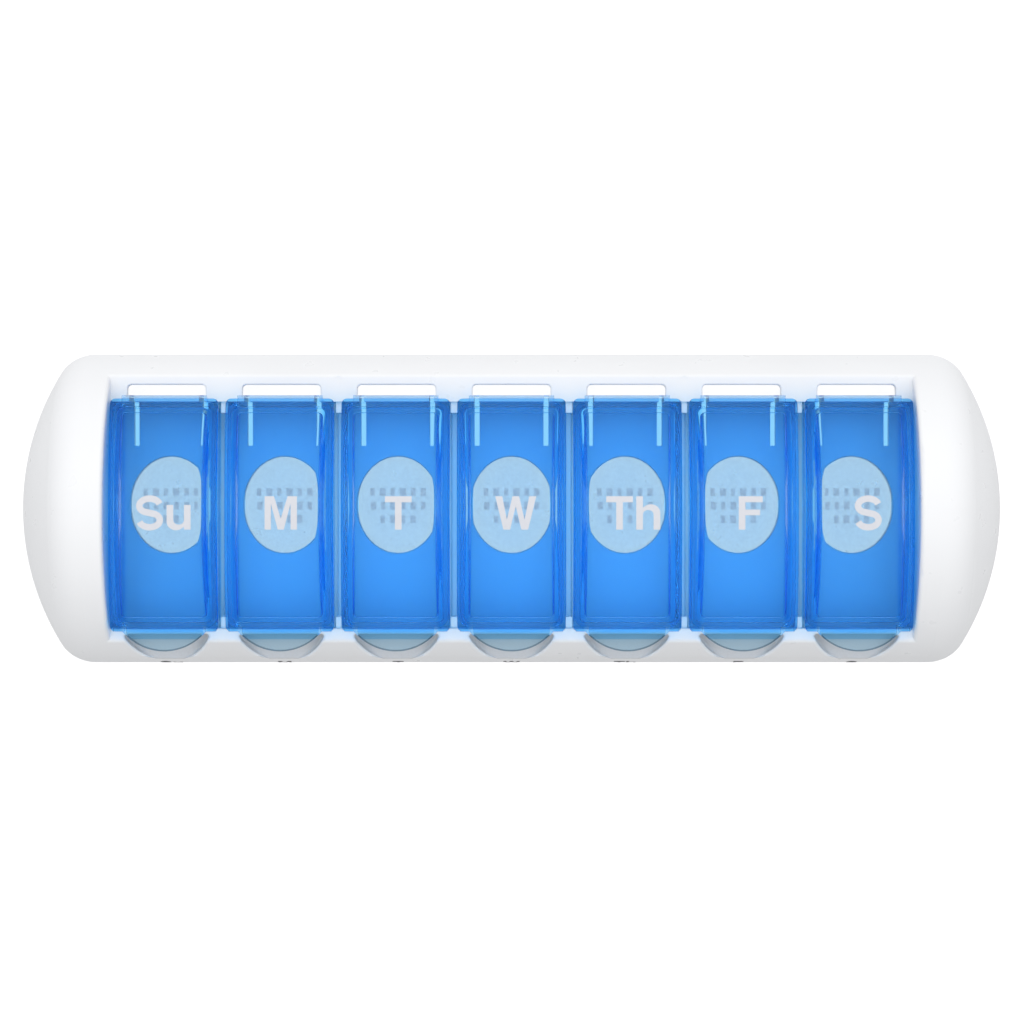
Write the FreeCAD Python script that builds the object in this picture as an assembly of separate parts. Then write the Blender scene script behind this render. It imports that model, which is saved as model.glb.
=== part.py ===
import FreeCAD, Part
import math
import os

# A seven-day travel pill organizer. One white tray, rounded like a loaf, holds a row of seven
# translucent boxes. Each box has a domed lid on a thin moulded hinge at its rear, and lifts out
# when a finger pushes it up through the oval hole under it.
# Millimetres. The origin is the bottom centre of the tray, +X runs from the Sunday end to the
# Saturday end, +Y points to the hinge side and +Z up.

V = FreeCAD.Vector
DAYS = ("sunday", "monday", "tuesday", "wednesday", "thursday", "friday", "saturday")

# Tray outside
PITCH = 25.0              # from one box to the next
CROWN_Z = 28.0            # top of the loaf
SKIRT_Z = 3.2             # where the near-upright skirt turns into the loaf's arc
TRAY_HALF_WIDTH = 33.8    # at the top of the skirt
TRAY_TIP = 107.7          # half length at the top of the skirt
END_RADIUS = 56.7         # bowed ends, in plan
CORNER_RADIUS = 8.5       # plan corners between the bowed ends and the long sides
SKIRT_DRAFT = 5.0         # degrees
SKIN = 1.8                # wall of the tray
LEDGE_Z = 13.0            # flat ledges in front of and behind the boxes

# Pocket for the boxes
POCKET_HALF_LENGTH = 87.2
POCKET_FRONT = -26.0
POCKET_REAR = 23.2
POCKET_WALL = 1.2
FLOOR_LOW = 0.7
FLOOR_TOP = 2.7
RIB_THICKNESS = 1.4
FLOOR_RIB_HEIGHT = 3.0
WALL_RIB_REACH = 2.4      # how far the upright ribs stand out of the pocket's long walls
WALL_RIB_TOP = 12.3

# Rounded edges of the tray
CREST_ROUND = 1.0
SCOOP_ROUND = 0.5
BASE_ROUND = 0.4
SMALL_ROUND = 0.3

# Finger hole, snap tongue and finger scoop of each day
HOLE_HALF_X = 9.0
HOLE_HALF_Y = 10.6
HOLE_Y = 0.8
SLIT_X = 7.6
SLIT_WIDTH = 1.1
SLIT_FRONT = 13.8
SLOT_HALF_WIDTH = 8.5
SLOT_REAR = 26.9
BEAD_RADIUS = 0.6
BEAD_Y = 23.6
BEAD_Z = 11.2
SCOOP_PLAN_RADIUS = 10.4
SCOOP_PLAN_Y = -22.9
SCOOP_ARC_RADIUS = 7.9
SCOOP_ARC_Y = -35.2
SCOOP_ARC_Z = 13.2
EJECTOR_X = 37.6
EJECTOR_Y = 28.0
EJECTOR_RADIUS = 0.75
EJECTOR_DEPTH = 0.12

# Box
BOX_HALF_WIDTH = 11.3
BOX_FRONT = -25.6
BOX_REAR = 22.9
BOX_LOW = 3.0
BOX_WALL = 1.1
BOX_FLOOR = 1.2
BOX_CORNER = 2.0
BOX_BOTTOM_RADIUS = 3.4
BOX_END_RADIUS = 0.8
BOX_RIM_ROUND = 0.35
RIM_Z = 17.0              # rim at the front and the rear
RIM_RISE = 3.5            # the side walls arch up by this much in the middle
RIM_GAP = 0.15            # between the box's rim and the closed lid
LIP_HALF_WIDTH = 8.3
LIP_FRONT = -28.3
LIP_THICKNESS = 1.0
LIP_DROP = 0.2            # the lips' top lies this far under the rim
LIP_CORNER = 1.8

# Lid
LID_HALF_WIDTH = 11.7
LID_FRONT = -26.6
LID_REAR = 23.7
LID_CORNER = 1.2
FLANGE = 1.1
FLANGE_ROUND = 0.4
DOME_SIDE_BORDER = 1.4
DOME_END_BORDER = 2.1
DOME_DRAFT = 2.0          # degrees
DOME_END_Z = 19.6         # the dome's top at its front and rear ends
LID_CROWN_Z = 27.8
LID_WALL = 1.0
DOME_EDGE_RADIUS = 1.3
DOME_CORNER = 1.5
TAB_RADIUS = 11.6
TAB_FRONT = -30.9
TAB_EDGE_RADIUS = 0.3
CATCH_INNER_X = 8.7
CATCH_DROP = 1.8
CATCH_THICKNESS = 0.75

# Moulded hinge
HINGE_HALF_WIDTH = 9.2
HINGE_Z = 16.95
HINGE_OUTER = 0.75
HINGE_WEB = 0.35
HINGE_GAP = 0.02

LID_MID_Y = (LID_FRONT + LID_REAR) / 2
LOAF_DROP = ((CROWN_Z ** 2 - TRAY_HALF_WIDTH ** 2 - SKIRT_Z ** 2)
             / (2 * (SKIRT_Z - CROWN_Z)))   # the loaf's arc is centred this far below the base
LOAF_RADIUS = CROWN_Z + LOAF_DROP
END_CENTRE_X = TRAY_TIP - END_RADIUS
CORNER_Y = TRAY_HALF_WIDTH - CORNER_RADIUS
CORNER_X = END_CENTRE_X + math.sqrt((END_RADIUS - CORNER_RADIUS) ** 2 - CORNER_Y ** 2)
TALL = 60.0               # longer than any cut has to be


def block(x_low, x_high, y_low, y_high, z_low, z_high):
    return Part.makeBox(x_high - x_low, y_high - y_low, z_high - z_low, V(x_low, y_low, z_low))


def upright_edges(shape):
    """The straight edges that run along Z, or nearly so."""
    return [e for e in shape.Edges
            if len(e.Vertexes) == 2 and isinstance(e.Curve, Part.Line)
            and abs(e.tangentAt(e.FirstParameter).z) > 0.9]


def level_edges(shape, z):
    """The edges that lie in the level plane at height z."""
    return [e for e in shape.Edges
            if abs(e.BoundBox.ZMin - z) < 0.02 and abs(e.BoundBox.ZMax - z) < 0.02]


def rounded_block(half_x, y_low, y_high, z_low, z_high, radius):
    """A block centred on x = 0 with its four upright edges rounded."""
    shape = block(-half_x, half_x, y_low, y_high, z_low, z_high)
    return shape.makeFillet(radius, upright_edges(shape))


def bar(radius, half_length, y, z):
    """A cylinder that lies along X, centred on x = 0."""
    return Part.makeCylinder(radius, 2 * half_length, V(-half_length, y, z), V(1, 0, 0))


def arch_centre(half_span, rise, top_z):
    """Radius of the arc with that half span and rise, and the height of its centre."""
    radius = (half_span ** 2 + rise ** 2) / (2 * rise)
    return radius, top_z - radius


# ---------------------------------------------------------------- tray

def plan_wire(offset, z):
    """The tray's outline at height z, moved out by offset: long sides, corners and bowed ends."""
    half = TRAY_HALF_WIDTH + offset
    corner = CORNER_RADIUS + offset
    end = END_RADIUS + offset
    turn = math.atan2(CORNER_Y, CORNER_X - END_CENTRE_X)
    middle = (turn + math.pi / 2) / 2
    corner_mid = (CORNER_X + corner * math.cos(middle), CORNER_Y + corner * math.sin(middle))
    corner_end = (END_CENTRE_X + end * math.cos(turn), end * math.sin(turn))
    edges = []
    for sx, sy in ((1, 1), (-1, -1)):
        start = V(sx * CORNER_X, sy * half, z)
        mid = V(sx * corner_mid[0], sy * corner_mid[1], z)
        join = V(sx * corner_end[0], sy * corner_end[1], z)
        tip = V(sx * (END_CENTRE_X + end), 0, z)
        join_2 = V(join.x, -join.y, z)
        mid_2 = V(mid.x, -mid.y, z)
        start_2 = V(start.x, -start.y, z)
        edges += [Part.LineSegment(V(-start.x, start.y, z), start).toShape(),
                  Part.Arc(start, mid, join).toShape(),
                  Part.Arc(join, tip, join_2).toShape(),
                  Part.Arc(join_2, mid_2, start_2).toShape()]
    return Part.Wire(edges)


def loaf(inset):
    """The loaf: a lying cylinder whose ends are spheres, with an arc between cylinder and sphere.
    All are centred on the loaf's axis, under the base, so that the skirt's top keeps one height."""
    cylinder = LOAF_RADIUS
    sphere = math.hypot(END_RADIUS, LOAF_DROP + SKIRT_Z)
    reach = CORNER_X - END_CENTRE_X
    blend = (sphere ** 2 - cylinder ** 2 - reach ** 2) / (2 * (sphere - cylinder))
    turn = math.atan2(cylinder - blend, reach)

    def on_arc(centre_x, centre_z, radius, angle):
        return V(centre_x + (radius - inset) * math.cos(angle), 0,
                 centre_z + (radius - inset) * math.sin(angle) - LOAF_DROP)

    top = V(CORNER_X, 0, cylinder - inset - LOAF_DROP)
    bend = on_arc(CORNER_X, cylinder - blend, blend, (turn + math.pi / 2) / 2)
    join = on_arc(END_CENTRE_X, 0, sphere, turn)
    curve = on_arc(END_CENTRE_X, 0, sphere, turn / 2)
    pole = on_arc(END_CENTRE_X, 0, sphere, 0)
    end = [Part.Arc(top, bend, join).toShape(), Part.Arc(join, curve, pole).toShape()]
    other_end = [e.mirror(V(0, 0, 0), V(1, 0, 0)) for e in end]
    edges = end + other_end
    for p in (top, pole):
        edges.append(Part.LineSegment(V(-p.x, 0, p.z), p).toShape())
    profile = Part.Face(Part.Wire(Part.__sortEdges__(edges)))
    return profile.revolve(V(0, 0, -LOAF_DROP), V(1, 0, 0), 360)


def tray_envelope(inset, z_low):
    """The tray's outside, or the same shape moved inwards."""
    grow = math.tan(math.radians(SKIRT_DRAFT))
    low = plan_wire((SKIRT_Z - z_low) * grow - inset, z_low)
    high = plan_wire((SKIRT_Z - TALL / 2) * grow - inset, TALL / 2)
    return Part.makeLoft([low, high], True, True).common(loaf(inset))


def scoop(x, grow):
    """The hollow for a fingertip under a lid's tab: round in plan, and a quarter arc in section."""
    upright = Part.makeCylinder(SCOOP_PLAN_RADIUS + grow, TALL, V(x, SCOOP_PLAN_Y, 0))
    lying = bar(SCOOP_ARC_RADIUS + grow, PITCH / 2, SCOOP_ARC_Y, SCOOP_ARC_Z)
    lying.translate(V(x, 0, 0))
    above = block(x - PITCH, x + PITCH, SCOOP_ARC_Y, SCOOP_ARC_Y + SCOOP_ARC_RADIUS + grow,
                  SCOOP_ARC_Z, TALL)
    return upright.common(lying.fuse(above))


def finger_hole(x):
    edge = Part.Ellipse(V(x, HOLE_Y, 0), HOLE_HALF_Y, HOLE_HALF_X).toShape()
    edge.rotate(V(x, HOLE_Y, 0), V(0, 0, 1), 90)
    return Part.Face(Part.Wire([edge])).extrude(V(0, 0, FLOOR_TOP + 1))


def tongue_cuts(x):
    """The slot behind a snap tongue and the two slits beside it, down the wall and along the floor."""
    wall_back = POCKET_REAR + POCKET_WALL
    slot = rounded_block(SLOT_HALF_WIDTH, wall_back - 2, SLOT_REAR, LEDGE_Z - 4, TALL, 0.9)
    slot = slot.cut(block(-PITCH, PITCH, 0, wall_back, 0, TALL))
    slot.translate(V(x, 0, 0))
    cuts = [slot]
    for side in (-1, 1):
        middle = x + side * SLIT_X
        cuts.append(block(middle - SLIT_WIDTH / 2, middle + SLIT_WIDTH / 2,
                          SLIT_FRONT, wall_back + 0.01, 0, LEDGE_Z + 1))
    return cuts


def tray_outside(centres):
    """The tray as if it were solid, with its flat ledges, finger scoops and rounded edges."""
    ledge_region = block(-POCKET_HALF_LENGTH, POCKET_HALF_LENGTH, -TALL, TALL, LEDGE_Z, TALL)
    shape = tray_envelope(0, 0).cut(ledge_region)
    crests = [e for e in level_edges(shape, LEDGE_Z) if e.Length > POCKET_HALF_LENGTH]
    crests += [e for e in shape.Edges
               if abs(abs(e.CenterOfMass.x) - POCKET_HALF_LENGTH) < 0.01 and e.BoundBox.ZMax > LEDGE_Z + 1]
    shape = shape.makeFillet(CREST_ROUND, crests)
    shape = shape.cut([scoop(x, 0) for x in centres])
    scoop_edges = {}
    for face in shape.Faces:
        if isinstance(face.Surface, Part.Cylinder) and (
                round(face.Surface.Radius, 3) in (SCOOP_PLAN_RADIUS, SCOOP_ARC_RADIUS)):
            for edge in face.Edges:
                middle = edge.CenterOfMass
                scoop_edges[round(middle.x, 3), round(middle.y, 3), round(middle.z, 3)] = edge
    shape = shape.makeFillet(SCOOP_ROUND, list(scoop_edges.values()))
    return shape.makeFillet(BASE_ROUND, level_edges(shape, 0))


def tray_void(centres):
    """The hollow under the tray's skin, around the pocket."""
    cap_x = POCKET_HALF_LENGTH + POCKET_WALL
    shape = tray_envelope(SKIN, -1)
    shape = shape.cut(block(-cap_x, cap_x, -TALL, TALL, LEDGE_Z - SKIN, TALL))
    shape = shape.cut(block(-cap_x, cap_x, POCKET_FRONT - POCKET_WALL, POCKET_REAR + POCKET_WALL,
                            FLOOR_LOW, TALL))
    return shape.cut([scoop(x, SKIN) for x in centres])


def pocket(centres):
    """The trough that holds the boxes, less the ribs that keep them apart."""
    shape = block(-POCKET_HALF_LENGTH, POCKET_HALF_LENGTH, POCKET_FRONT, POCKET_REAR, FLOOR_TOP, TALL)
    half = RIB_THICKNESS / 2
    for x in [centre + PITCH / 2 for centre in centres[:-1]]:
        shape = shape.cut([
            block(x - half, x + half, POCKET_FRONT, POCKET_REAR,
                  FLOOR_TOP, FLOOR_TOP + FLOOR_RIB_HEIGHT),
            block(x - half, x + half, POCKET_FRONT, POCKET_FRONT + WALL_RIB_REACH,
                  FLOOR_TOP, WALL_RIB_TOP),
            block(x - half, x + half, POCKET_REAR - WALL_RIB_REACH, POCKET_REAR,
                  FLOOR_TOP, WALL_RIB_TOP)])
    return shape


def tray():
    centres = [(i - 3) * PITCH for i in range(len(DAYS))]
    shape = tray_outside(centres).cut(tray_void(centres)).cut(pocket(centres))

    cuts = [finger_hole(x) for x in centres]
    for x in centres:
        cuts += tongue_cuts(x)
    cuts += [Part.makeCylinder(EJECTOR_RADIUS, 1, V(x, EJECTOR_Y, LEDGE_Z - EJECTOR_DEPTH))
             for x in (-EJECTOR_X, EJECTOR_X)]
    shape = shape.cut(cuts)

    hole_edges = [e for z in (FLOOR_LOW, FLOOR_TOP) for e in level_edges(shape, z)
                  if len(e.Vertexes) == 1]
    wall_back = POCKET_REAR + POCKET_WALL
    small_edges = [e for e in level_edges(shape, LEDGE_Z)
                   if wall_back < e.CenterOfMass.y < SLOT_REAR + 0.01 or e.Length > POCKET_HALF_LENGTH]
    small_edges += [e for e in level_edges(shape, FLOOR_TOP + FLOOR_RIB_HEIGHT) if e.Length > PITCH]
    shape = shape.makeFillet(SMALL_ROUND, hole_edges + small_edges)

    beads = []
    for x in centres:
        bead = bar(BEAD_RADIUS, SLIT_X - SLIT_WIDTH, BEAD_Y, BEAD_Z)
        bead.translate(V(x, 0, 0))
        beads.append(bead)
    return shape.fuse(beads).removeSplitter()


# ---------------------------------------------------------------- box

def tub(inset, z_low, bottom_radius):
    """Block with rounded upright corners and rounded long bottom edges."""
    half = BOX_HALF_WIDTH - inset
    body = rounded_block(half, BOX_FRONT + inset, BOX_REAR - inset, z_low, TALL,
                         max(0.4, BOX_CORNER - inset))
    section = block(-half, half, -TALL, TALL, z_low, TALL)
    long_edges = [e for e in section.Edges
                  if abs(e.tangentAt(0).y) > 0.9 and e.CenterOfMass.z < z_low + 0.1]
    return body.common(section.makeFillet(bottom_radius, long_edges))


def rim_bar(grow):
    """Everything under the arched line where box and lid meet, moved up by grow."""
    radius, centre_z = arch_centre(LID_REAR - LID_MID_Y, RIM_RISE, RIM_Z + RIM_RISE)
    return bar(radius + grow, PITCH, LID_MID_Y, centre_z)


def box():
    shape = tub(0, BOX_LOW, BOX_BOTTOM_RADIUS)
    shape = shape.cut(tub(BOX_WALL, BOX_LOW + BOX_FLOOR, BOX_BOTTOM_RADIUS - BOX_WALL))
    shape = shape.common(rim_bar(-RIM_GAP))
    rim = max(shape.Faces, key=lambda f: f.CenterOfMass.z if f.Area > BOX_HALF_WIDTH else 0)
    shape = shape.makeFillet(BOX_RIM_ROUND, rim.Edges)
    low_ends = [e for e in shape.Edges
                if e.BoundBox.ZMin < BOX_LOW + 0.02 and e.BoundBox.ZMax < BOX_LOW + BOX_BOTTOM_RADIUS
                and not BOX_FRONT + BOX_WALL < e.CenterOfMass.y < BOX_REAR - BOX_WALL]
    shape = shape.makeFillet(BOX_END_RADIUS, low_ends)
    lip_top = RIM_Z - LIP_DROP
    lip = rounded_block(LIP_HALF_WIDTH, LIP_FRONT, BOX_FRONT + 4, lip_top - LIP_THICKNESS,
                        lip_top, LIP_CORNER)
    lip = lip.cut(block(-PITCH, PITCH, BOX_FRONT + BOX_WALL / 2, 0, 0, TALL))
    strip = block(-BOX_HALF_WIDTH + BOX_CORNER, BOX_HALF_WIDTH - BOX_CORNER,
                  BOX_REAR - BOX_WALL / 2, LID_REAR, lip_top - LIP_THICKNESS, lip_top)
    return shape.fuse([lip, strip]).removeSplitter()


# ---------------------------------------------------------------- lid

def dome(inset, edge_radius):
    """The raised middle of a lid: drafted sides under an arch that runs from front to rear."""
    half_x = LID_HALF_WIDTH - DOME_SIDE_BORDER - inset
    half_y = (LID_REAR - LID_FRONT) / 2 - DOME_END_BORDER - inset
    low = RIM_Z - 2
    high = LID_CROWN_Z + 4
    lean = (high - low) * math.tan(math.radians(DOME_DRAFT))
    corners = [(-half_x, low), (half_x, low), (half_x - lean, high), (lean - half_x, high)]
    outline = Part.makePolygon([V(x, LID_MID_Y - half_y, z) for x, z in corners + corners[:1]])
    sides = Part.Face(outline).extrude(V(0, 2 * half_y, 0))
    radius, centre_z = arch_centre(half_y + inset, LID_CROWN_Z - DOME_END_Z, LID_CROWN_Z)
    shape = sides.common(bar(radius - inset, PITCH, LID_MID_Y, centre_z))
    shape = shape.makeFillet(DOME_CORNER - inset / 2, upright_edges(shape))
    top = max(shape.Faces, key=lambda f: f.CenterOfMass.z)
    return shape.makeFillet(edge_radius, top.Edges)


def lid():
    footprint = rounded_block(LID_HALF_WIDTH, LID_FRONT, LID_REAR, RIM_Z - 1, TALL, LID_CORNER)
    flange = footprint.common(rim_bar(FLANGE))
    crest = max(flange.Faces, key=lambda f: f.CenterOfMass.z)
    flange = flange.makeFillet(FLANGE_ROUND, crest.Edges)
    tab = Part.makeCylinder(TAB_RADIUS, FLANGE, V(0, TAB_FRONT + TAB_RADIUS, RIM_Z))
    rounds = [e for e in tab.Edges if isinstance(e.Curve, Part.Circle)]
    tab = tab.makeFillet(TAB_EDGE_RADIUS, rounds)
    tab = tab.common(block(-PITCH, PITCH, TAB_FRONT, LID_FRONT + 1, 0, TALL))
    catches = [block(min(side * CATCH_INNER_X, side * (LID_HALF_WIDTH - LID_CORNER / 2)),
                     max(side * CATCH_INNER_X, side * (LID_HALF_WIDTH - LID_CORNER / 2)),
                     LID_FRONT, LID_FRONT + CATCH_THICKNESS, RIM_Z - CATCH_DROP, RIM_Z + 0.6)
               for side in (-1, 1)]
    solid = flange.cut(rim_bar(0)).fuse([dome(0, DOME_EDGE_RADIUS).cut(rim_bar(0.1)), tab])
    solid = solid.cut(dome(LID_WALL, DOME_EDGE_RADIUS - LID_WALL / 2))
    return solid.fuse(catches).removeSplitter()


# ---------------------------------------------------------------- hinge

def hinge():
    """The thin web that joins a box's rear strip to its lid, bowed out behind them."""
    ring = bar(HINGE_OUTER, HINGE_HALF_WIDTH, LID_REAR, HINGE_Z)
    ring = ring.cut(bar(HINGE_OUTER - HINGE_WEB, HINGE_HALF_WIDTH, LID_REAR, HINGE_Z))
    return ring.common(block(-PITCH, PITCH, LID_REAR + HINGE_GAP, LID_REAR + 5, 0, TALL))


def main():
    os.makedirs("parts", exist_ok=True)
    tray().exportStep("parts/tray.step")
    for name, shape in (("box", box()), ("lid", lid()), ("hinge", hinge())):
        for i, day in enumerate(DAYS):
            placed = shape.copy()
            placed.translate(V((i - 3) * PITCH, 0, 0))
            placed.exportStep(f"parts/{name}_{day}.step")


main()
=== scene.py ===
import math

import bmesh
import bpy
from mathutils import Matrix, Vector


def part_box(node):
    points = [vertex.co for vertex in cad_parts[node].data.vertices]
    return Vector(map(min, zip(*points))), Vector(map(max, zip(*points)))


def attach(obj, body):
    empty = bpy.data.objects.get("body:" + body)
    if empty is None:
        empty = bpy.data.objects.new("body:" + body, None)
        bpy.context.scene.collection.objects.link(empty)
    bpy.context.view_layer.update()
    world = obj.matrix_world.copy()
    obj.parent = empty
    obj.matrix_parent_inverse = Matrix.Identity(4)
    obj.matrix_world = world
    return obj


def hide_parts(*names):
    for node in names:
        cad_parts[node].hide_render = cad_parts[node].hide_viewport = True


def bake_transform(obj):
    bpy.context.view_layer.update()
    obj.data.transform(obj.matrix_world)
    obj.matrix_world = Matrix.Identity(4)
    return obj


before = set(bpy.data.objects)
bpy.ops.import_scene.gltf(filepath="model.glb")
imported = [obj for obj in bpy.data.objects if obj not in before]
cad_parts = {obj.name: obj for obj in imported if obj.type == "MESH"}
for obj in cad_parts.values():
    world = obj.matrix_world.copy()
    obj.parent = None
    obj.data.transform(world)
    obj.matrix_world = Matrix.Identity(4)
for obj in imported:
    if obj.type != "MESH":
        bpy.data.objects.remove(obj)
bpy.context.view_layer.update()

# A seven-day travel pill organizer, seen from straight above on a lit white table. Metres.
MM = 0.001
DAYS = {"sunday": "Su", "monday": "M", "tuesday": "T", "wednesday": "W",
        "thursday": "Th", "friday": "F", "saturday": "S"}
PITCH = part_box("box_monday")[0].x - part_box("box_sunday")[0].x

# Tones are pairs, dark and light, with noise between them. Clouds and grain are noise, in
# features per metre, and bumps are (noise, depth, strength). Roughness may be a pair too.

# Camera: straight above the middle, a little to the front
CAMERA_AT = (0.1 * MM, -0.8 * MM, 708 * MM)
LENS = 112.4              # mm
SENSOR_WIDTH = 36         # mm
CLIP_START = 10 * MM

# Light: how bright the tent is at the sides, and how much brighter it gets straight to the
# rear, straight up and straight down
TENT_COLOUR = (0.985, 0.99, 1.0)
TENT_SIDE = 0.62
TENT_REAR = 0.25
TENT_TOP = 0.80
TENT_TABLE = 0.15
BOUNCES = 24              # light crosses many thin walls
CLEAR_BOUNCES = 40        # surfaces that a ray may cross on its way to the tent

# Table
TABLE_REACH = 12.0        # far enough that low views don't see past it
TABLE_GLOW = 0.86
TABLE_TONES = ((0.30, 0.30, 0.30), (0.31, 0.31, 0.31))
TABLE_CLOUDS = 30
TABLE_ROUGHNESS = 0.9

# Printed letters
LID_CAP_HEIGHT = 7.1 * MM
LID_LETTER_SHIFT = (0.9 * MM, -1.0 * MM)
FRONT_CAP_HEIGHT = 3.0 * MM
FRONT_LETTER_LOW = 0.7 * MM
INK_THICKNESS = 0.03 * MM
INK_GAP = INK_THICKNESS / 3   # keeps the ink's back off the surface under it
PRINT_START = 5 * MM      # how far outside a piece its letters start from
SLICE = 0.35 * MM         # letters are cut into strips this tall, so that they can follow a curve

# Letter shapes, in cap heights
LETTER_GAP = 0.10
HALF_STROKE = 0.098       # of a curved stroke
ARCH_WIDTH = 0.72         # of an h or a u
SMALL_HEIGHT = 0.74       # of a u

# Raised dashes under each box, for the fingertip that pushes it out
DASH_HEIGHT = 0.12 * MM
DASH_DEPTH = 1.7 * MM
DASH_ROWS = ((2.6, (1.0, 1.3, 0.9, 1.4, 1.0, 1.2)),
             (-0.4, (1.2, 0.9, 1.3, 1.0, 1.2, 1.0)),
             (-3.4, (1.0, 1.3, 1.0, 1.2)))     # (y, widths) in mm, from the oval's middle
DASH_GAP = 1.1 * MM
DASH_MIDDLE = 1.0 * MM
DASH_TAPER = 0.75         # of its full size, at a dash's lower face
DASH_SINK = 0.4           # of its height: how far a dash's middle lies under the box

# Frosted oval under each box
PAD_MIDDLE = 0.8 * MM
PAD_HALF_X = 9.0 * MM
PAD_HALF_Y = 10.6 * MM
PAD_FLAT_X = 8.75 * MM    # where its sides are cut straight
PAD_TOP = 4.3 * MM
PAD_RAGGED = 0.06         # how far noise moves its edge, as a share of the oval
PAD_RAGGED_GRAIN = 1800
PAD_TONES = ((0.57, 0.57, 0.62), (0.95, 0.87, 0.86))
PAD_GRAIN = 1500
PAD_ROUGHER = 0.25

# Hollows for a fingertip: a round plan and a round section, each 0.2 mm past the tray's own, so
# that the hollow's surface is inside both. The hollows are painted a darker grey, which is
# painted shade under the lids' tabs, and are rougher
SCOOP_PLAN_Y = -22.9 * MM
SCOOP_PLAN_RADIUS = 10.6 * MM
SCOOP_ARC_Y = -35.2 * MM
SCOOP_ARC_Z = 13.2 * MM
SCOOP_ARC_RADIUS = 8.1 * MM
SCOOP_TOP = 12.8 * MM
SCOOP_REAR = -26.0 * MM
# Painted shade: the hollows' darker grey stands in for the shade under the lids' tabs
SCOOP_SHADE_TONES = ((0.53, 0.535, 0.55), (0.62, 0.625, 0.64))
SCOOP_GRAIN = 2500
SCOOP_ROUGHER = 0.3

# White plastic
WHITE_TONES = ((0.815, 0.82, 0.83), (0.86, 0.865, 0.875))
WHITE_CLOUDS = 45
WHITE_ROUGHNESS = (0.27, 0.40)
WHITE_ROUGHNESS_CLOUDS = 260
WHITE_IOR = 1.49
WHITE_BUMPS = ((420, 0.03 * MM, 0.25), (5200, 0.01 * MM, 0.1))

# Blue plastic
BLUE_TONES = ((0.48, 0.785, 0.975), (0.51, 0.80, 0.985))
BLUE_CLOUDS = 60
BLUE_ROUGHNESS = (0.02, 0.07)
BLUE_ROUGHNESS_CLOUDS = 320
BLUE_IOR = 1.07           # low, so that thick edges don't turn into dark lines
BLUE_COAT = 0.2
BLUE_COAT_ROUGHNESS = 0.08
BLUE_WAVES = (500, 0.02 * MM, 0.07)
BLUE_GRAIN = (4200, 0.01 * MM)
PLAIN_STRENGTH = 0.15     # of that grain
FROSTED_STRENGTH = 0.5

# Upright walls look deeper blue than level ones, as light goes a long way in them
WALL_TONES = ((0.12, 0.54, 0.98), (0.15, 0.58, 0.99))
LEVEL = 0.75              # the Z of a level surface's normal is at least this
UPRIGHT = 0.35            # and of an upright one's at most this

# The long edges of a lid look deeper blue still, with the box's walls right under them
BAND_START = 8.7 * MM
BAND_FULL = 9.5 * MM
BAND_TONES = ((0.20, 0.63, 0.985), (0.24, 0.66, 0.995))

# A lid's tab is paler, and its round edge has a thin dark line of painted shade
TAB_REAR = -27.4 * MM
TAB_PALE = -29.2 * MM
TAB_TONES = ((0.62, 0.83, 0.95), (0.66, 0.86, 0.97))
TAB_CLOUDS = 90
TAB_MIDDLE = -19.3 * MM
TAB_RADIUS = 11.6 * MM
TAB_RIM = 0.972           # of the radius
RIM_SHADE_TONES = ((0.28, 0.42, 0.52), (0.34, 0.48, 0.58))
RIM_GRAIN = 400

# Ink
INK_CLOUDS = 900
INK_ROUGHNESS = (0.38, 0.55)
INK_ROUGHNESS_CLOUDS = 1500
INK_BUMPS = ((3000, 0.01 * MM, 0.3),)
LID_INK_TONES = ((0.60, 0.61, 0.65), (0.66, 0.67, 0.71))
FRONT_INK_TONES = ((0.05, 0.05, 0.06), (0.09, 0.09, 0.10))

# Hinge webs
WEB_SEGMENTS = 20
WEB_END = 0.38 * MM       # thickness where it meets box and lid
WEB_MIDDLE = 0.26 * MM
WEB_THINNING = 3          # the higher, the longer the thin middle
WEB_TONES = ((0.68, 0.84, 0.95), (0.74, 0.87, 0.97))


# ---------------------------------------------------------------- shader nodes

# The noise node's values that count as its lowest and highest
NOISE_LOW = 0.3
NOISE_HIGH = 0.7

# Which of a Mix node's sockets it uses for colours
MIX_SHARE = 0
MIX_FIRST = 6
MIX_SECOND = 7
MIX_RESULT = 2


def new_material(name):
    material = bpy.data.materials.new(name)
    material.use_nodes = True
    material.node_tree.nodes.clear()
    return material, material.node_tree


def finish_material(tree, shader):
    output = tree.nodes.new("ShaderNodeOutputMaterial")
    tree.links.new(shader, output.inputs["Surface"])


def set_input(tree, socket, value):
    """Gives an input a value, or links another node's output to it."""
    if isinstance(value, bpy.types.NodeSocket):
        tree.links.new(value, socket)
    else:
        socket.default_value = value


def add(tree, kind, **inputs):
    """A node with its inputs set, with _ for a space in an input's name."""
    node = tree.nodes.new(kind)
    for key, value in inputs.items():
        set_input(tree, node.inputs[key.replace("_", " ")], value)
    return node


def point(tree):
    """X, Y and Z of the point that is shaded, in its object's own frame."""
    place = tree.nodes.new("ShaderNodeTexCoord")
    return add(tree, "ShaderNodeSeparateXYZ", Vector=place.outputs["Object"]).outputs


def noise(tree, scale, detail=2.0):
    """Noise over the object, scale being features per metre."""
    place = tree.nodes.new("ShaderNodeTexCoord")
    node = add(tree, "ShaderNodeTexNoise", Vector=place.outputs["Object"], Scale=scale,
               Detail=detail)
    return node.outputs["Fac"]


def spread(tree, scale, low, high):
    """Noise that runs from low to high."""
    node = add(tree, "ShaderNodeMapRange", Value=noise(tree, scale, 4), From_Min=NOISE_LOW,
               From_Max=NOISE_HIGH, To_Min=low, To_Max=high)
    return node.outputs["Result"]


def fade(tree, value, zero, one):
    """A share that goes from 0 where the value is zero to 1 where it is one."""
    node = add(tree, "ShaderNodeMapRange", Value=value, From_Min=zero, From_Max=one)
    return node.outputs["Result"]


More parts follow.
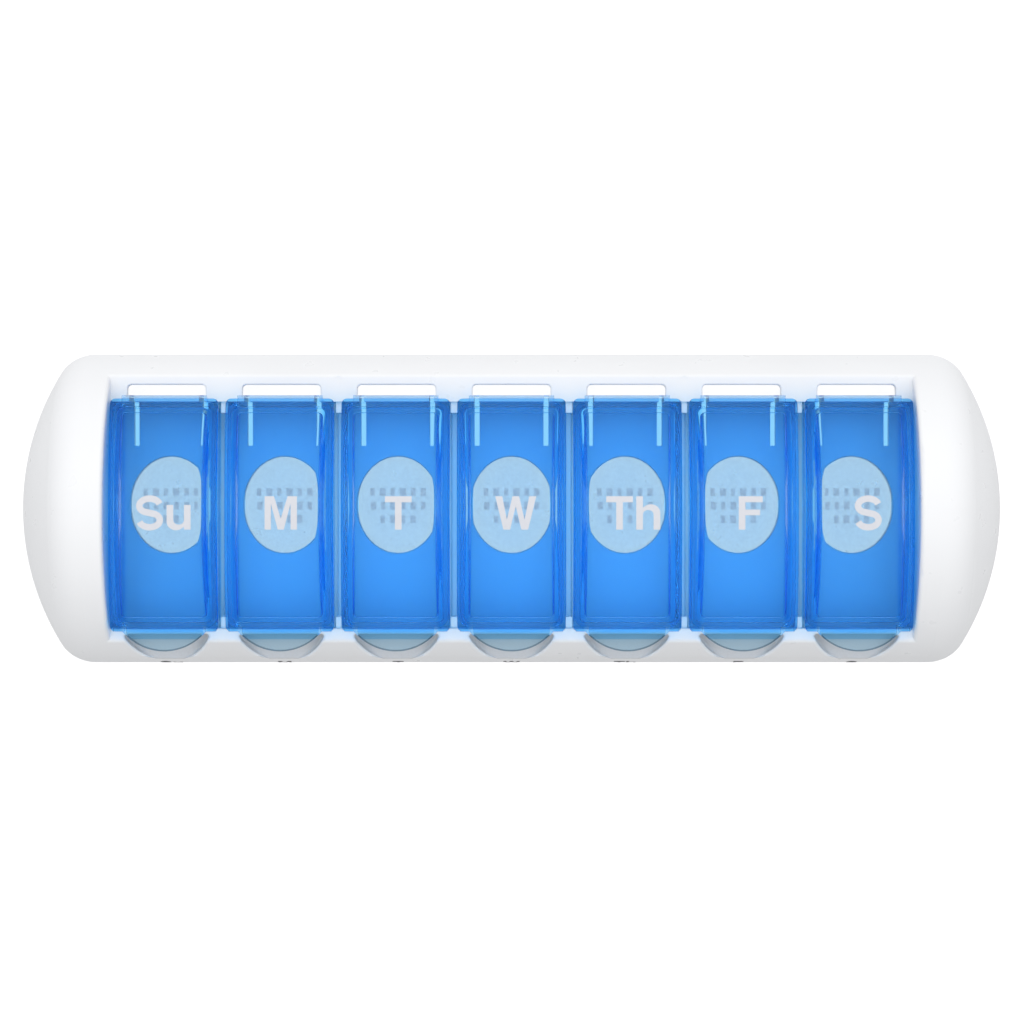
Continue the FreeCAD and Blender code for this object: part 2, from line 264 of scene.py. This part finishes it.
def math_node(tree, operation, *values):
    """A Math node's result. Each value may be a number or another node's output."""
    node = tree.nodes.new("ShaderNodeMath")
    node.operation = operation
    for socket, value in zip(node.inputs, values):
        set_input(tree, socket, value)
    return node.outputs[0]


def minus(tree, value, amount):
    return math_node(tree, "SUBTRACT", value, amount)


def below(tree, value, limit):
    return math_node(tree, "LESS_THAN", value, limit)


def all_of(tree, *tests):
    """1 where every test is 1."""
    result = tests[0]
    for test in tests[1:]:
        result = math_node(tree, "MULTIPLY", result, test)
    return result


def absolute(tree, value):
    return math_node(tree, "ABSOLUTE", value)


def across_day(tree, x):
    """How far a point is along X from the middle of its day's place."""
    return math_node(tree, "WRAP", x, PITCH / 2, -PITCH / 2)


def ellipse(tree, across, along, half_x, half_y):
    """Distance from an ellipse's middle, 1 on its edge."""
    squares = [math_node(tree, "POWER", math_node(tree, "DIVIDE", value, half), 2)
               for value, half in ((across, half_x), (along, half_y))]
    return math_node(tree, "SQRT", math_node(tree, "ADD", *squares))


def mix_colours(tree, share, first, second):
    """A colour between two, the second one where share is 1."""
    node = tree.nodes.new("ShaderNodeMix")
    node.data_type = "RGBA"
    set_input(tree, node.inputs[MIX_SHARE], share)
    set_input(tree, node.inputs[MIX_FIRST], first)
    set_input(tree, node.inputs[MIX_SECOND], second)
    return node.outputs[MIX_RESULT]


def mottled(tree, scale, tones, detail=3):
    """A colour that noise varies from a dark tone to a light one."""
    dark, light = tones
    return mix_colours(tree, noise(tree, scale, detail), (*dark, 1), (*light, 1))


def bumps(tree, layers):
    """Bump nodes one on another. Each layer is (noise scale, depth in metres, strength)."""
    normal = None
    for scale, depth, strength in layers:
        node = add(tree, "ShaderNodeBump", Height=noise(tree, scale), Distance=depth,
                   Strength=strength)
        if normal is not None:
            tree.links.new(normal, node.inputs["Normal"])
        normal = node.outputs["Normal"]
    return normal


# ---------------------------------------------------------------- places on the object

def painted_scoop_shade(tree):
    """1 in the hollow in front of each box, under the lid's tab, where shade is painted, and 0
    elsewhere.
    """
    x, y, z = point(tree)
    plan = ellipse(tree, across_day(tree, x), minus(tree, y, SCOOP_PLAN_Y),
                   SCOOP_PLAN_RADIUS, SCOOP_PLAN_RADIUS)
    section = ellipse(tree, minus(tree, y, SCOOP_ARC_Y), minus(tree, z, SCOOP_ARC_Z),
                      SCOOP_ARC_RADIUS, SCOOP_ARC_RADIUS)
    return all_of(tree, below(tree, plan, 1), below(tree, section, 1),
                  below(tree, z, SCOOP_TOP), below(tree, y, SCOOP_REAR),
                  below(tree, absolute(tree, x), len(DAYS) * PITCH / 2))


def push_pad(tree):
    """1 on the frosted oval under each box, where a finger pushes it out, and 0 elsewhere."""
    x, y, z = point(tree)
    across = across_day(tree, x)
    oval = ellipse(tree, across, minus(tree, y, PAD_MIDDLE), PAD_HALF_X, PAD_HALF_Y)
    ragged = math_node(tree, "MULTIPLY_ADD", noise(tree, PAD_RAGGED_GRAIN, 3), PAD_RAGGED, oval)
    return all_of(tree, below(tree, ragged, 1 + PAD_RAGGED / 2),
                  below(tree, absolute(tree, across), PAD_FLAT_X), below(tree, z, PAD_TOP))


def uprightness(tree):
    """0 where the surface is level and 1 where it is upright, as the object is made."""
    place = tree.nodes.new("ShaderNodeTexCoord")
    normal = add(tree, "ShaderNodeSeparateXYZ", Vector=place.outputs["Normal"])
    return fade(tree, absolute(tree, normal.outputs["Z"]), LEVEL, UPRIGHT)


def side_band(tree):
    """1 along both long edges of a lid, fading to 0 towards its middle."""
    x, _, _ = point(tree)
    return fade(tree, absolute(tree, across_day(tree, x)), BAND_START, BAND_FULL)


def tab_share(tree):
    """0 on a lid's body and 1 on the thin tab in front of it."""
    _, y, _ = point(tree)
    return fade(tree, y, TAB_REAR, TAB_PALE)


def shaded_tab_rim(tree):
    """1 on the thin round edge of a lid's tab, where a dark line of shade is painted, and 0
    elsewhere.
    """
    x, y, _ = point(tree)
    radius = ellipse(tree, across_day(tree, x), minus(tree, y, TAB_MIDDLE),
                     TAB_RADIUS, TAB_RADIUS)
    return all_of(tree, math_node(tree, "GREATER_THAN", radius, TAB_RIM),
                  below(tree, y, TAB_REAR))


# ---------------------------------------------------------------- materials

def moulded_white():
    """White polypropylene: glossy, with faint flow marks and a fine grain, and painted shade, a
    darker grey, in the hollows under the tabs.
    """
    material, tree = new_material("white_plastic")
    shaded_hollow = painted_scoop_shade(tree)
    # Painted shade: a darker grey in the hollows under the tabs
    colour = mix_colours(tree, shaded_hollow, mottled(tree, WHITE_CLOUDS, WHITE_TONES),
                         mottled(tree, SCOOP_GRAIN, SCOOP_SHADE_TONES))
    roughness = math_node(tree, "MULTIPLY_ADD", shaded_hollow, SCOOP_ROUGHER,
                          spread(tree, WHITE_ROUGHNESS_CLOUDS, *WHITE_ROUGHNESS))
    shader = add(tree, "ShaderNodeBsdfPrincipled", Base_Color=colour, Roughness=roughness,
                 IOR=WHITE_IOR, Normal=bumps(tree, WHITE_BUMPS))
    finish_material(tree, shader.outputs[0])
    return material


def lid_tint(tree, tint):
    """A tint with a lid's deeper long edges, its paler tab and painted shade as a dark line on
    the tab's rim.
    """
    for share, scale, tones in ((side_band(tree), BLUE_CLOUDS, BAND_TONES),
                                (tab_share(tree), TAB_CLOUDS, TAB_TONES),
                                (shaded_tab_rim(tree), RIM_GRAIN, RIM_SHADE_TONES)):
        tint = mix_colours(tree, share, tint, mottled(tree, scale, tones))
    return tint


def clear_blue(name, tones, frosted=False, banded=False, thin=False):
    """Translucent blue polypropylene. Rays on their way to the light go straight through it,
    tinted."""
    material, tree = new_material(name)
    tint = mottled(tree, BLUE_CLOUDS, tones)
    roughness = spread(tree, BLUE_ROUGHNESS_CLOUDS, *BLUE_ROUGHNESS)
    strength = PLAIN_STRENGTH
    if not thin:
        tint = mix_colours(tree, uprightness(tree), tint, mottled(tree, BLUE_CLOUDS, WALL_TONES))
    if banded:
        tint = lid_tint(tree, tint)
    if frosted:
        pad = push_pad(tree)
        tint = mix_colours(tree, pad, tint, mottled(tree, PAD_GRAIN, PAD_TONES, 5))
        roughness = math_node(tree, "MULTIPLY_ADD", pad, PAD_ROUGHER, roughness)
        strength = FROSTED_STRENGTH
    glass = add(tree, "ShaderNodeBsdfPrincipled", Base_Color=tint, Roughness=roughness,
                IOR=BLUE_IOR, Transmission_Weight=1.0, Coat_Weight=BLUE_COAT,
                Coat_Roughness=BLUE_COAT_ROUGHNESS,
                Normal=bumps(tree, (BLUE_WAVES, (*BLUE_GRAIN, strength))))
    _, light = tones
    straight = add(tree, "ShaderNodeBsdfTransparent", Color=(*map(math.sqrt, light), 1))
    path = tree.nodes.new("ShaderNodeLightPath")
    mix = tree.nodes.new("ShaderNodeMixShader")
    shaders = (path.outputs["Is Shadow Ray"], glass.outputs[0], straight.outputs[0])
    for value, socket in zip(shaders, mix.inputs):
        tree.links.new(value, socket)
    finish_material(tree, mix.outputs[0])
    return material


def ink(name, tones):
    """Matt printing ink."""
    material, tree = new_material(name)
    shader = add(tree, "ShaderNodeBsdfPrincipled", Base_Color=mottled(tree, INK_CLOUDS, tones),
                 Roughness=spread(tree, INK_ROUGHNESS_CLOUDS, *INK_ROUGHNESS),
                 Normal=bumps(tree, INK_BUMPS))
    finish_material(tree, shader.outputs[0])
    return material


WHITE = moulded_white()
BLUE_LID = clear_blue("blue_lid_plastic", BLUE_TONES, banded=True)
BLUE_BOX = clear_blue("blue_box_plastic", BLUE_TONES, frosted=True)
BLUE_WEB = clear_blue("blue_hinge_plastic", WEB_TONES, thin=True)
LID_INK = ink("pale_ink", LID_INK_TONES)
FRONT_INK = ink("dark_ink", FRONT_INK_TONES)


# ---------------------------------------------------------------- pieces

def paint(node, material):
    for material_slot in node.material_slots:
        material_slot.material = material


def make_piece(name, shape, material):
    """A new object from a bmesh, which is used up."""
    mesh = bpy.data.meshes.new(name)
    shape.to_mesh(mesh)
    shape.free()
    mesh.materials.append(material)
    piece = bpy.data.objects.new(name, mesh)
    bpy.context.scene.collection.objects.link(piece)
    return piece


# ---------------------------------------------------------------- letters

def arc(centre, radii, start, end, steps=14):
    """Points on an ellipse from one angle to another, in degrees."""
    angles = [math.radians(start + (end - start) * i / steps) for i in range(steps + 1)]
    return [(centre[0] + radii[0] * math.cos(a), centre[1] + radii[1] * math.sin(a))
            for a in angles]


def ribbon(points, half):
    """The outline of a stroke of even width along a line of points."""
    left, right = [], []
    for i, (x, y) in enumerate(points):
        before = points[max(i - 1, 0)]
        after = points[min(i + 1, len(points) - 1)]
        along = Vector((after[0] - before[0], after[1] - before[1])).normalized()
        left.append((x - along.y * half, y + along.x * half))
        right.append((x + along.y * half, y - along.x * half))
    return left + right[::-1]


def arch_outline(stem_top):
    """An n, or an h if its stem is as tall as a capital."""
    return ([(0, 0), (0, stem_top), (0.2, stem_top), (0.2, 0.66)]
            + arc((0.44, 0.5), (0.28, 0.26), 120, 0)
            + [(ARCH_WIDTH, 0), (0.52, 0)]
            + arc((0.36, 0.45), (0.16, 0.14), 0, 180) + [(0.2, 0)])


# Bold letters without serifs, in cap heights, each as (width, outline)
OUTLINES = {
    "M": (0.97, [(0, 0), (0, 1), (0.28, 1), (0.485, 0.33), (0.69, 1), (0.97, 1), (0.97, 0),
                 (0.78, 0), (0.78, 0.78), (0.575, 0), (0.395, 0), (0.19, 0.78), (0.19, 0)]),
    "T": (0.8, [(0, 1), (0.8, 1), (0.8, 0.82), (0.5, 0.82), (0.5, 0), (0.3, 0), (0.3, 0.82),
                (0, 0.82)]),
    "W": (1.23, [(0, 1), (0.21, 1), (0.35, 0.3), (0.515, 1), (0.715, 1), (0.88, 0.3), (1.02, 1),
                 (1.23, 1), (0.985, 0), (0.785, 0), (0.615, 0.7), (0.445, 0), (0.245, 0)]),
    "F": (0.72, [(0, 0), (0, 1), (0.72, 1), (0.72, 0.82), (0.2, 0.82), (0.2, 0.6), (0.64, 0.6),
                 (0.64, 0.43), (0.2, 0.43), (0.2, 0)]),
    "S": (0.82, ribbon(arc((0.41, 0.715), (0.31, 0.215), 15, 235)
                       + arc((0.41, 0.285), (0.31, 0.215), 55, -165), HALF_STROKE)),
    "h": (ARCH_WIDTH, arch_outline(1.0)),
    "u": (ARCH_WIDTH, [(ARCH_WIDTH - x, SMALL_HEIGHT - y)
                       for x, y in arch_outline(SMALL_HEIGHT)]),
}


def letters_mesh(text, cap_height):
    """Flat letters about the origin, cut into thin level strips, and given a thickness."""
    shape = bmesh.new()
    cursor = 0.0
    for letter in text:
        width, outline = OUTLINES[letter]
        corners = [shape.verts.new(((cursor + x) * cap_height, y * cap_height, 0))
                   for x, y in outline]
        shape.faces.new(corners)
        cursor += width + LETTER_GAP
    total = (cursor - LETTER_GAP) * cap_height
    bmesh.ops.translate(shape, verts=shape.verts, vec=(-total / 2, -cap_height / 2, 0))
    bmesh.ops.triangulate(shape, faces=shape.faces[:], ngon_method="EAR_CLIP")
    for i in range(1, math.ceil(cap_height / SLICE)):
        level = -cap_height / 2 + i * SLICE
        bmesh.ops.bisect_plane(shape, geom=shape.verts[:] + shape.edges[:] + shape.faces[:],
                               plane_co=(0, level, 0), plane_no=(0, 1, 0))
    grown = bmesh.ops.extrude_face_region(shape, geom=shape.faces[:])
    raised = [v for v in grown["geom"] if isinstance(v, bmesh.types.BMVert)]
    bmesh.ops.translate(shape, verts=raised, vec=(0, 0, INK_THICKNESS))
    bmesh.ops.recalc_face_normals(shape, faces=shape.faces[:])
    return shape


def print_on(name, shape, to_start, direction, node, material):
    """Lays flat letters on a CAD node: each point starts at to_start(point) and goes along
    direction until it meets the node. The letters' thickness stands out of the surface."""
    direction = Vector(direction)
    for vert in shape.verts:
        hit, place, _, _ = node.ray_cast(to_start(vert.co), direction)
        if not hit:
            raise RuntimeError(f"{name} misses its surface")
        vert.co = place - direction * (vert.co.z + INK_GAP)
    return make_piece(name, shape, material)


def lid_letters(day, text):
    low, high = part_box(f"lid_{day}")
    middle_x = (low.x + high.x) / 2 + LID_LETTER_SHIFT[0]
    tray_low, tray_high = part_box("tray")
    middle_y = (tray_low.y + tray_high.y) / 2 + LID_LETTER_SHIFT[1]
    piece = print_on(f"letters_{day}", letters_mesh(text, LID_CAP_HEIGHT),
                     lambda p: Vector((middle_x + p.x, middle_y + p.y, high.z + PRINT_START)),
                     (0, 0, -1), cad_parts[f"lid_{day}"], LID_INK)
    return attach(piece, f"{day}_lid")


def front_letters(day, text):
    low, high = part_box(f"box_{day}")
    middle_x = (low.x + high.x) / 2
    middle_z = FRONT_LETTER_LOW + FRONT_CAP_HEIGHT / 2
    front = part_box("tray")[0].y - PRINT_START
    piece = print_on(f"front_letters_{day}", letters_mesh(text, FRONT_CAP_HEIGHT),
                     lambda p: Vector((middle_x + p.x, front, middle_z + p.y)),
                     (0, 1, 0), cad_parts["tray"], FRONT_INK)
    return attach(piece, "tray")


# ---------------------------------------------------------------- dashes under the boxes

def dash_rows(day):
    """Rows of small raised dashes under a box's floor."""
    low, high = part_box(f"box_{day}")
    middle_x = (low.x + high.x) / 2
    shape = bmesh.new()
    for row_y, widths in DASH_ROWS:
        total = sum(widths) * MM + DASH_GAP * (len(widths) - 1)
        x = middle_x - total / 2
        for width in widths:
            centre = Vector((x + width * MM / 2, DASH_MIDDLE + row_y * MM, low.z))
            for vert in bmesh.ops.create_cube(shape, size=1)["verts"]:
                taper = 1.0 if vert.co.z > 0 else DASH_TAPER
                vert.co.x *= width * MM * taper
                vert.co.y *= DASH_DEPTH * taper
                vert.co.z = (vert.co.z - DASH_SINK) * DASH_HEIGHT
                vert.co += centre
            x += width * MM + DASH_GAP
    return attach(make_piece(f"dashes_{day}", shape, BLUE_BOX), f"{day}_box")


# ---------------------------------------------------------------- hinge webs

def hinge_web(day):
    """The thin web behind a lid, thinner in its middle, made as a fixed half round; on the real
    case it bends when the lid opens.
    """
    low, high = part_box(f"hinge_{day}")
    radius = (high.z - low.z) / 2 - WEB_END / 2
    middle_z = (low.z + high.z) / 2
    shape = bmesh.new()
    sections = []
    for i in range(WEB_SEGMENTS + 1):
        angle = -math.pi / 2 + math.pi * i / WEB_SEGMENTS
        towards_end = abs(math.sin(angle)) ** WEB_THINNING
        half = (WEB_MIDDLE + (WEB_END - WEB_MIDDLE) * towards_end) / 2
        section = []
        for x, side in ((low.x, -1), (high.x, -1), (high.x, 1), (low.x, 1)):
            reach = radius + side * half
            section.append(shape.verts.new((x, low.y + reach * math.cos(angle),
                                            middle_z + reach * math.sin(angle))))
        sections.append(section)
    for first, second in zip(sections, sections[1:]):
        for k in range(len(first)):
            after = (k + 1) % len(first)
            shape.faces.new((first[k], first[after], second[after], second[k]))
    shape.faces.new(sections[0][::-1])
    shape.faces.new(sections[-1])
    bmesh.ops.recalc_face_normals(shape, faces=shape.faces[:])
    piece = make_piece(f"web_{day}", shape, BLUE_WEB)
    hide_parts(f"hinge_{day}")
    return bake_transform(piece)


# ---------------------------------------------------------------- stage

def floor():
    """A white table that is lit from within, so that it shows white through every opening."""
    material, tree = new_material("lit_table")
    shader = add(tree, "ShaderNodeBsdfPrincipled", Roughness=TABLE_ROUGHNESS,
                 Base_Color=mottled(tree, TABLE_CLOUDS, TABLE_TONES, 2),
                 Emission_Color=(1, 1, 1, 1), Emission_Strength=TABLE_GLOW)
    finish_material(tree, shader.outputs[0])
    shape = bmesh.new()
    shape.faces.new([shape.verts.new((x * TABLE_REACH, y * TABLE_REACH, 0))
                     for x, y in ((-1, -1), (1, -1), (1, 1), (-1, 1))])
    piece = make_piece("floor", shape, material)
    piece.visible_diffuse = False      # so that it lights the case no more than a plain table
    piece.visible_glossy = False
    piece.visible_shadow = False


def studio():
    """A bright tent over a lit table, brightest overhead and dimmest in front."""
    world = bpy.data.worlds.new("studio")
    world.use_nodes = True
    tree = world.node_tree
    background = tree.nodes["Background"]
    background.inputs["Color"].default_value = (*TENT_COLOUR, 1)
    place = tree.nodes.new("ShaderNodeTexCoord")
    way = add(tree, "ShaderNodeSeparateXYZ", Vector=place.outputs["Generated"])
    up = math_node(tree, "MAXIMUM", way.outputs["Z"], 0)
    down = math_node(tree, "MAXIMUM", minus(tree, 0, way.outputs["Z"]), 0)
    strength = math_node(tree, "MULTIPLY_ADD", way.outputs["Y"], TENT_REAR, TENT_SIDE)
    strength = math_node(tree, "MULTIPLY_ADD", up, TENT_TOP, strength)
    strength = math_node(tree, "MULTIPLY_ADD", down, TENT_TABLE, strength)
    tree.links.new(strength, background.inputs["Strength"])
    scene = bpy.context.scene
    scene.world = world
    scene.view_settings.view_transform = "Standard"
    scene.cycles.max_bounces = BOUNCES
    scene.cycles.transmission_bounces = BOUNCES
    scene.cycles.glossy_bounces = BOUNCES
    scene.cycles.transparent_max_bounces = CLEAR_BOUNCES


def camera():
    data = bpy.data.cameras.new("camera")
    data.lens = LENS
    data.sensor_width = SENSOR_WIDTH
    data.clip_start = CLIP_START
    holder = bpy.data.objects.new("camera", data)
    holder.location = CAMERA_AT
    bpy.context.scene.collection.objects.link(holder)
    bpy.context.scene.camera = holder


paint(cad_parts["tray"], WHITE)
for day, text in DAYS.items():
    paint(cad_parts[f"box_{day}"], BLUE_BOX)
    paint(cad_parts[f"lid_{day}"], BLUE_LID)
    lid_letters(day, text)
    front_letters(day, text)
    dash_rows(day)
    hinge_web(day)
floor()
studio()
camera()
